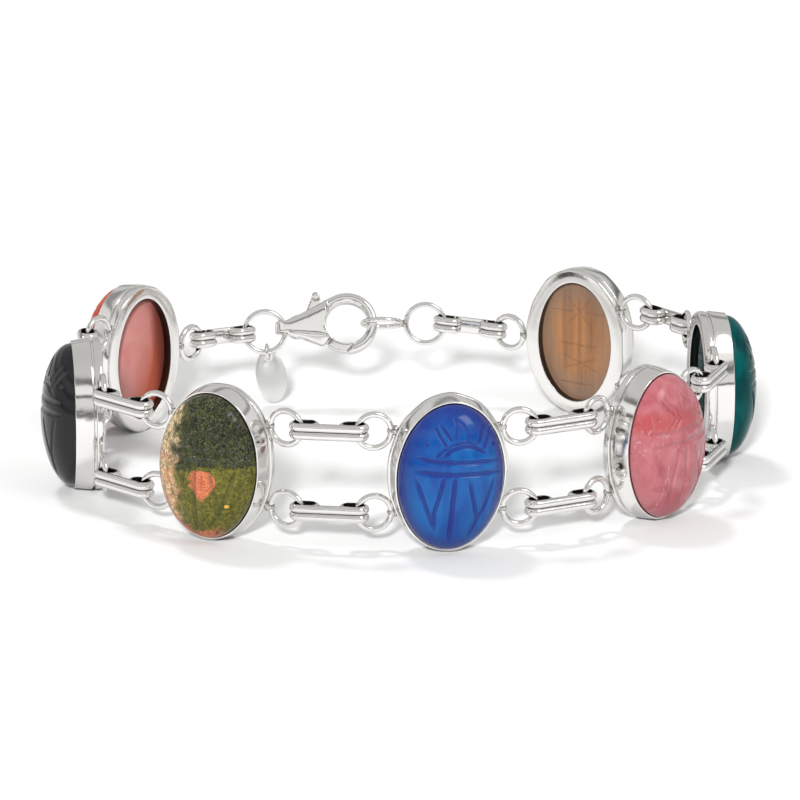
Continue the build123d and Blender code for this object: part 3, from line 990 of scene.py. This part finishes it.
@dataclass
class CarvedStone:
    """An oval cabochon with its carving."""

    stone: Stone
    lie: Lie
    seat: float = 0.95
    girdle: float = 1.85
    dome: float = 3.0
    depth: float = 0.16
    back_depth: float = 0.07
    dot: float = 0.5
    blunt: float = 0.45
    flat: float = 0.45
    flank: float = 0.6
    across: int = 165
    carved_back: bool = False

    def disc(self) -> tuple[np.ndarray, np.ndarray]:
        """A square grid of points drawn into a round disc.

        Returns:
            Points of the unit disc, and the numbers of those on its edge, in order.
        """
        count = self.across
        line = np.linspace(-1, 1, count)
        u, v = np.meshgrid(line, line, indexing="ij")
        disc = np.stack([u * np.sqrt(1 - v**2 / 2), v * np.sqrt(1 - u**2 / 2)], axis=-1).reshape(-1, 2)
        last = count - 1
        side = np.arange(last)
        edge = np.concatenate([side * count, last * count + side, (last - side) * count + last, last - side])
        return disc, edge

    def cuts_at(self, places: np.ndarray, cuts: Sequence[Cut]) -> np.ndarray:
        """How deeply each place is carved.

        Args:
            places: Rows of x and y in millimetres.
            cuts: The carved lines, which taper towards their ends unless they are dots.

        Returns:
            Depth from 0 to about 1.
        """
        depth = np.zeros(len(places))
        for cut in cuts:
            line = np.array(cut.line) * (HALF_WIDTH, HALF_HEIGHT)
            near, taper = np.full(len(places), np.inf), np.ones(len(places))
            length = np.linalg.norm(np.diff(line, axis=0), axis=1)
            total, run = length.sum(), 0.0
            for start, end, piece in zip(line[:-1], line[1:], length):
                way = end - start
                share = np.clip((places - start) @ way / (way @ way), 0, 1)
                away = np.linalg.norm(places - start - share[:, None] * way, axis=1)
                along = (run + share * piece) / total
                if total > self.dot:
                    ends = np.clip(5 * np.minimum(along, 1 - along) + self.blunt, 0, 1)
                    taper = np.where(away < near, ends, taper)
                near = np.minimum(near, away)
                run += piece
            half = cut.width / 2 * taper
            shape = 1 - np.clip((near - self.flat * half) / np.maximum(half * self.flank, 1e-6), 0, 1)
            depth = np.maximum(depth, shape * shape * (3 - 2 * shape) * cut.depth * taper)
        return depth

    def build(self, finish: Material) -> Object:
        """Builds the stone.

        Args:
            finish: Its material.

        Returns:
            The object.
        """
        disc, edge = self.disc()
        radius = np.linalg.norm(disc, axis=1)
        tilt = radius * pi / 2
        spread = np.where(radius > 1e-9, np.sin(tilt) / np.maximum(radius, 1e-9), pi / 2)
        ball = np.column_stack([disc * spread[:, None], np.cos(tilt)])
        size = np.array([HALF_WIDTH, HALF_HEIGHT, self.dome])
        top, out = ball * size, ball / size
        out /= np.linalg.norm(out, axis=1)[:, None]
        carved = self.cuts_at(top[:, :2], SCARAB) * np.clip((1 - radius) * 12, 0, 1)
        top -= out * (carved * self.depth)[:, None]
        top[:, 2] += self.seat + self.girdle
        sheet = grid(self.across, self.across)
        points, marks, faces, ring = [top], [carved], [*sheet], edge
        for level, inset in ((self.seat + 0.12, 0.0), (self.seat + 0.04, 0.03), (self.seat, 0.12)):
            loop = top[edge]
            loop[:, :2] *= 1 - inset / np.linalg.norm(loop[:, :2], axis=1)[:, None]
            loop[:, 2] = level
            here = sum(map(len, points)) + np.arange(len(edge))
            faces += [*np.stack([np.roll(ring, 1), ring, here, np.roll(here, 1)], axis=1)]
            points.append(loop)
            marks.append(np.zeros(len(loop)))
            ring = here
        start = sum(map(len, points))
        if self.carved_back:
            back = disc * (HALF_WIDTH - 0.2, HALF_HEIGHT - 0.2)
            depth = self.cuts_at(back * (-1.0, 1.0), UNDERSIDE)
            points.append(np.column_stack([back, self.seat + self.back_depth * depth]))
            marks.append(depth)
            here = start + edge
            faces += [*(sheet + start), *np.stack([np.roll(ring, 1), ring, here, np.roll(here, 1)], axis=1)]
        else:
            points.append(np.array([[0.0, 0.0, self.seat]]))
            marks.append(np.zeros(1))
            faces += [(ring[k - 1], ring[k], start) for k in range(len(edge))]
        form = Form()
        form.add(leaned(np.concatenate(points), self.stone), faces, np.concatenate(marks))
        name = f"stone_{self.stone.value}"
        return claim(form.make(f"{name}_carved", self.lie, finish, "carved"), name)


@dataclass
class BarLink:
    """A strip with two rounded ridges, whose ends are rolled back into loops."""

    length: float = 7.56
    height: float = 1.6
    thickness: float = 0.45
    ridge: float = 0.42
    corner: float = 0.06
    curl: float = 0.6
    run: float = 0.8
    close: float = 140.0
    step: float = 0.09

    def section(self) -> Object:
        """The strip's section as an object of edges, with x across its thickness and y up."""
        centre = self.height / 2 - self.ridge
        rise = self.thickness - self.ridge
        turns = np.linspace(pi - np.arccos(centre / self.ridge), 0, 15)[:-1]
        half = [(self.corner - self.height / 2, 0.0), (-self.height / 2, self.corner)]
        half += [(-centre + self.ridge * np.cos(pi - t), rise + self.ridge * np.sin(pi - t)) for t in turns]
        outline = [(-y, x, 0.0) for x, y in half + mirrored(half)]
        count = len(outline)
        mesh = bpy.data.meshes.new("bar_section")
        mesh.from_pydata(outline, [(k, (k + 1) % count) for k in range(count)], [])
        return show("bar_section", mesh)

    def curl_centre(self) -> float:
        """How far the axis of a curl is from the link's middle."""
        return self.length / 2 - self.thickness - self.curl

    def path(self) -> np.ndarray:
        """Points of the strip's inner face, in the plane of x along the chain and y out of the loop."""
        centre = self.curl_centre()
        right = [(centre + self.curl * cos(t), self.curl * sin(t)) for t in np.linspace(pi / 2, -pi / 2, 18)]
        turns = np.linspace(0, radians(self.close), 15)
        right += [(centre - self.run - self.curl * sin(t), -self.curl * cos(t)) for t in turns]
        return np.array([(x, y, 0.0) for x, y in mirrored(right) + right])

    def hollows(self, points: np.ndarray) -> np.ndarray:
        """Marks with -1 the inner faces of the curls, which hardly any light reaches."""
        x, centre = np.abs(points[:, 0]), self.curl_centre()
        beyond = x - np.clip(x, centre - self.run, centre)
        return -1.0 * (np.hypot(beyond, points[:, 2]) < self.curl + 0.06)

    def build(self, kit: Kit, name: str, lie: Lie, level: float, seed: float) -> Object:
        """Builds one link.

        Args:
            kit: What the metal pieces share.
            name: Name of the CAD node that it stands for.
            lie: Where its pair, or it, lies.
            level: Its height above that.
            seed: Makes each link a little different.

        Returns:
            The object.
        """
        path = self.path()
        edges = [(k, k + 1) for k in range(len(path) - 1)]
        values = {"Section": kit.section, "Step": self.step, "Seed": seed, "Material": kit.silver}
        mesh = evaluated(path, edges, kit.strips, values)
        points = coordinates(mesh)[:, [0, 2, 1]] + (0.0, level, 0.0)
        form = Form()
        form.add_mesh(mesh, points, self.hollows(points))
        return claim(form.make(f"{name}_silver", lie, kit.silver), name)


@dataclass
class Clasp:
    """Lobster clasp, catch, jump ring and tag."""

    kit: Kit
    catch_radius: float = 1.95
    catch_wire: float = 0.53
    jump_radius: float = 2.05
    jump_wire: float = 0.54
    solder: float = 0.36
    solder_shape: Triple = (1.25, 1.0, 0.95)
    solder_overlap: float = 0.03
    tag_width: float = 3.1
    tag_height: float = 5.35
    tag_thickness: float = 0.3
    tag_edge: float = 0.08
    tag_hole: float = 0.42
    tag_rim: float = 0.4
    tag_rise: float = 0.2
    tag_gap: float = 0.05
    tag_ring_radius: float = 0.7
    tag_ring_wire: float = 0.3
    tag_ring_shift: float = 0.2
    tag_ring_turn: float = 15.0
    grain: float = 0.065
    nose: Point = (-12.0, -10.4)
    claw: Point = (-8.3, -7.3)
    rounds: int = 100

    def ring(self, name: str, lies: Sequence[Lie], radius: float, wire: float) -> Object:
        """Builds one ring, or two that are soldered together.

        Args:
            name: Name of the CAD node.
            lies: Where each ring lies.
            radius: Their radius.
            wire: Their wire's diameter.

        Returns:
            The object.
        """
        form = Form()
        base = lies[0]
        for number, lie in enumerate(lies):
            mesh = self.kit.wires(radius, wire, 20.0 + number)
            points = (lie.to_model(coordinates(mesh)) / MM - base.origin()) @ base.axes()
            form.add_mesh(mesh, points)
        if len(lies) > 1:
            ball = bmesh.new()
            bmesh.ops.create_icosphere(ball, subdivisions=3, radius=self.solder)
            touch = (radius + wire / 2 - self.solder_overlap, 0.0, 0.0)
            rng = np.random.default_rng(4)
            points = np.array([tuple(v.co) for v in ball.verts])
            lumps = 1 + 0.05 * rng.standard_normal((len(points), 1))
            faces = [[v.index for v in f.verts] for f in ball.faces]
            form.add(points * self.solder_shape * lumps + touch, faces, 1.0)
            ball.free()
        return claim(form.make(f"{name}_silver", base, self.kit.silver), name)

    def round_off(self, mesh: Mesh) -> None:
        """Rounds the clasp's body between its nose and its claw, where the casting is fullest.

        Args:
            mesh: The clasp's mesh in the model's frame.
        """
        points = coordinates(mesh)
        count = len(points)
        pairs = np.zeros(len(mesh.edges) * 2, dtype=np.int64)
        mesh.edges.foreach_get("vertices", pairs)
        start, end = pairs.reshape(-1, 2).T
        near = np.bincount(start, minlength=count) + np.bincount(end, minlength=count)
        (nose_end, nose_start), (claw_start, claw_end) = self.nose, self.claw
        along = points[:, 0] / MM
        share = np.clip((along - nose_end) / (nose_start - nose_end), 0, 1)
        share = 0.5 * share * np.clip((claw_end - along) / (claw_end - claw_start), 0, 1)
        for _ in range(self.rounds):
            total = np.stack([np.bincount(start, values[end], count) + np.bincount(end, values[start], count)
                              for values in points.T], axis=1)
            points += (total / near[:, None] - points) * share[:, None]
        mesh.vertices.foreach_set("co", points.ravel())
        mesh.update()

    def cast(self, node: str, body: str, smooth: int) -> Object:
        """A cast piece: a copy of its solid with its edges worn soft.

        Args:
            node: Name of the CAD node.
            body: The body that it rides on.
            smooth: How often its surface is evened.

        Returns:
            The object.
        """
        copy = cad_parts[node].data.copy()
        work = bmesh.new()
        work.from_mesh(copy)
        bmesh.ops.remove_doubles(work, verts=work.verts, dist=1e-6)
        work.to_mesh(copy)
        work.free()
        holder = show(f"{node}_copy", copy)
        remesh = holder.modifiers.new("even", "REMESH")
        remesh.mode = "VOXEL"
        remesh.voxel_size = self.grain * MM
        soften = holder.modifiers.new("soften", "SMOOTH")
        soften.factor = 0.5
        soften.iterations = smooth
        mesh = settled(holder)
        if node == "clasp_body":
            self.round_off(mesh)
        mesh.name = f"{node}_cast"
        mesh.materials.clear()
        mesh.materials.append(self.kit.silver)
        mesh.shade_smooth()
        return claim(show(mesh.name, mesh), node, body=body)

    def tag(self) -> Object:
        """Builds the tag, an oval plate with a hole and soft edges."""
        half = self.tag_thickness / 2
        ring = np.column_stack(circle(96))
        hole = ring * self.tag_hole - (0.0, self.tag_rim + self.tag_hole)
        oval = ring * (self.tag_width / 2, self.tag_height / 2) - (0.0, self.tag_height / 2)
        low, lower = half - self.tag_edge / 2, half - self.tag_edge
        rows = [(0.0, lower), (0.0, low), (0.02, half), (0.5, half), (0.98, half), (1.0, low), (1.0, lower)]
        rows += [(share, -level) for share, level in rows[::-1]]
        points = [np.column_stack([hole * (1 - share) + oval * share, np.full(len(ring), level)])
                  for share, level in rows]
        shift = (0.0, self.tag_rise, self.jump_wire / 2 + self.tag_gap + half)
        form = Form()
        form.add(np.concatenate(points) + shift, grid(len(rows), len(ring), True, True))
        return claim(form.make("tag_plate", JUMP_BOTTOM, self.kit.matt), "tag")

    def tag_ring(self) -> Object:
        """Builds the small ring between the jump ring and the tag."""
        mesh = self.kit.wires(self.tag_ring_radius, self.tag_ring_wire, 0.0)
        turn = radians(self.tag_ring_turn)
        axes = np.array([[0.0, -sin(turn), cos(turn)], [1.0, 0.0, 0.0], [0.0, cos(turn), sin(turn)]])
        form = Form()
        form.add_mesh(mesh, coordinates(mesh) @ axes.T + (0.0, 0.0, self.tag_ring_shift))
        return claim(form.make("tag_ring_silver", JUMP_BOTTOM, self.kit.silver), "tag_ring")

    def build(self) -> list[Object]:
        """Builds every piece of the fastening."""
        return [
            self.ring("catch_ring", (CATCH_UPRIGHT, CATCH_LYING), self.catch_radius, self.catch_wire),
            self.ring("jump_ring", (JUMP,), self.jump_radius, self.jump_wire),
            self.cast("clasp_body", "bracelet", 36),
            self.cast("clasp_lever", "lever", 16),
            self.cast("clasp_pin", "bracelet", 2),
            self.tag(),
            self.tag_ring(),
        ]


# Surroundings


SKY_FRONT = (
    (0.0, 0.03), (0.06, 0.04), (0.09, 0.75), (0.28, 0.75), (0.31, 0.06), (0.37, 0.08),
    (0.41, 0.92), (0.62, 0.88), (0.66, 0.12), (0.71, 0.15), (0.75, 0.6), (1.0, 0.55),
)
SKY_BACK = (
    (0.0, 0.9), (0.16, 0.85), (0.19, 0.1), (0.24, 0.12), (0.27, 0.8), (0.52, 0.8),
    (0.55, 0.25), (0.6, 0.3), (0.63, 0.68), (1.0, 0.55),
)


@dataclass
class Studio:
    """Floor, lights and camera, in metres."""

    target: Triple = (-0.000105, 0.002237, 0.00702)
    eye: Triple = (-0.004665, -0.591602, 0.171289)
    view_angle: float = 7.241
    floor_size: float = 6.0
    reach: float = 2.4
    warmth: float = 0.985

    def floor(self) -> None:
        """Lays the white floor."""
        shader = Shader("white_floor")
        cloud = shader.noise(0.002, 2.0) * 0.2
        tint = shader.coats((0.615, 0.615, 0.615), (cloud, (0.6, 0.6, 0.6)))
        half = self.floor_size / 2
        mesh = bpy.data.meshes.new("floor")
        corners = [(-half, -half, 0.0), (half, -half, 0.0), (half, half, 0.0), (-half, half, 0.0)]
        mesh.from_pydata(corners, [], [(0, 1, 2, 3)])
        values = {"Base Color": tint, "Roughness": 0.9, "Specular IOR Level": 0.1}
        mesh.materials.append(shader.surface(values))
        show("floor", mesh)

    def lamp(self, name: str, azimuth: float, height: float, size: float, power: float, seen: bool) -> None:
        """Hangs a square lamp that points at the bracelet.

        Args:
            name: The lamp's name.
            azimuth: Its direction in degrees, to the right of the camera's.
            height: Its direction in degrees above the floor.
            size: Its side in metres.
            power: Its power in watts.
            seen: Whether polished surfaces show it.
        """
        light = bpy.data.lights.new(name, "AREA")
        light.size, light.energy = size, power
        made = show(name, light)
        turn, lift = radians(azimuth), radians(height)
        way = Vector((cos(lift) * sin(turn), -cos(lift) * cos(turn), sin(lift)))
        made.location = Vector(self.target) + way * self.reach
        made.rotation_euler = way.to_track_quat("Z", "Y").to_euler()
        made.visible_glossy = seen

    def sky(self) -> None:
        """Makes the bright surroundings, with darker belts that show as lines in the silver."""
        world = bpy.data.worlds.new("bright_room")
        world.use_nodes = True
        tree = Tree(world.node_tree)
        way = tree.node("ShaderNodeTexCoord").outputs["Generated"]
        split = tree.node("ShaderNodeSeparateXYZ", {0: way})
        ramps = [tree.node("ShaderNodeValToRGB") for _ in range(2)]
        for ramp, belts in zip(ramps, (SKY_FRONT, SKY_BACK)):
            stops = ramp.color_ramp.elements
            while len(stops) < len(belts):
                stops.new(1.0)
            for stop, (place, light) in zip(stops, belts):
                stop.position = place
                stop.color = (light, light, light * self.warmth, 1.0)
            tree.feed(ramp.inputs["Fac"], tree.sock(split, 2))
        behind = tree.sock(split, 1).step(-0.25, 0.25)
        both = tree.node("ShaderNodeMix", {0: behind, 6: ramps[0], 7: ramps[1]}, data_type="RGBA")
        back = tree.node("ShaderNodeBackground", {"Color": both.outputs[2], "Strength": 1.0})
        tree.node("ShaderNodeOutputWorld", {"Surface": back})
        bpy.context.scene.world = world

    def camera(self) -> None:
        """Sets the camera at the photograph's angle."""
        data = bpy.data.cameras.new("camera")
        data.sensor_width = 36.0
        data.angle = radians(self.view_angle)
        data.clip_end = 50.0
        made = show("camera", data)
        made.location = self.eye
        made.rotation_euler = (Vector(self.target) - Vector(self.eye)).to_track_quat("-Z", "Y").to_euler()
        bpy.context.scene.camera = made
        bpy.context.scene.view_settings.view_transform = "Standard"

    def build(self) -> None:
        """Sets everything up."""
        self.floor()
        self.lamp("front", -6.0, 25.0, 0.24, 92.0, False)
        self.lamp("back", -150.0, 60.0, 0.36, 24.0, False)
        self.lamp("window", 52.0, 48.0, 0.9, 12.0, True)
        self.sky()
        self.camera()


GEMS = (BlueAgate, PinkRhodochrosite, GreenOnyx, TigerEye, Carnelian, BlackOnyx, Unakite)
FINISHES = dict(zip(Stone, GEMS))


def main() -> None:
    """Builds the whole bracelet and its surroundings."""
    logging.basicConfig(level=logging.INFO, format="%(message)s")
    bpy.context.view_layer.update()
    link = BarLink()
    kit = Kit(PolishedSilver().make(), MattSilver().make(), ring_tree(), strip_tree(), link.section())
    pieces = []
    for stone, lie in SETTINGS.items():
        setting = StoneSetting(stone, lie, stone is Stone.CARNELIAN, stone is Stone.TIGER_EYE)
        fine = FINENESS.get(stone, CarvedStone.across)
        gem = CarvedStone(stone, lie, across=fine, carved_back=stone is Stone.TIGER_EYE)
        pieces += [setting.build(kit), gem.build(FINISHES[stone](stone, lie).make())]
    half = StoneSetting.spacing / 2
    for number, (name, lie) in enumerate(PAIRS.items()):
        for level, height in (("upper", half), ("lower", -half)):
            pieces.append(link.build(kit, f"{name}_{level}", lie, height, number + height))
    for number, (name, lie) in enumerate(SINGLES.items()):
        pieces.append(link.build(kit, name, lie, 0.0, 30.0 + number))
    bpy.data.objects.remove(kit.section)
    pieces += Clasp(kit).build()
    for piece in pieces:
        LOG.info("made %s", piece.name)
    Studio().build()


if __name__ == "__main__":
    main()
